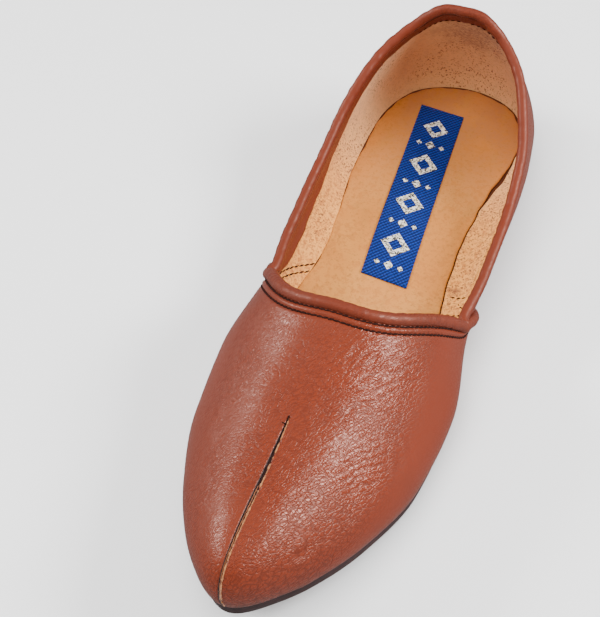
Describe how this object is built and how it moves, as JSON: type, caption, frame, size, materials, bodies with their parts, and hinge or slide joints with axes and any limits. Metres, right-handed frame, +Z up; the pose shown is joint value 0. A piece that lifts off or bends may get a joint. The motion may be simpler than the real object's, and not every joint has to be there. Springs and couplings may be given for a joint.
{
  "type": "mojari shoe",
  "caption": "Flat slip-on leather shoe with a pointed almond toe, a slit seam over the toe, a low rolled collar and a thin dark sole with a low heel.",
  "frame": {"origin": "on the floor, in the middle of the shoe's bounding box", "axes": "+Z up, +Y towards the heel, -Y towards the toe, +X to the right of someone who looks from the toe to the heel"},
  "size_m": [0.0934, 0.2779, 0.0743],
  "materials": {
    "upper_leather": "smooth, lightly grained, semi-gloss",
    "rolled_edge": "smooth, semi-gloss",
    "sole_leather": "dyed, satin",
    "insole_board": "raw, matte",
    "label_cloth": "woven twill"
  },
  "bodies": {
    "root": {"upper": "upper_leather", "throat_piping": "rolled_edge", "collar_piping": "rolled_edge", "outsole": "sole_leather", "heel_lift": "sole_leather", "insole": "insole_board", "label": "label_cloth"}
  },
  "joints": []
}
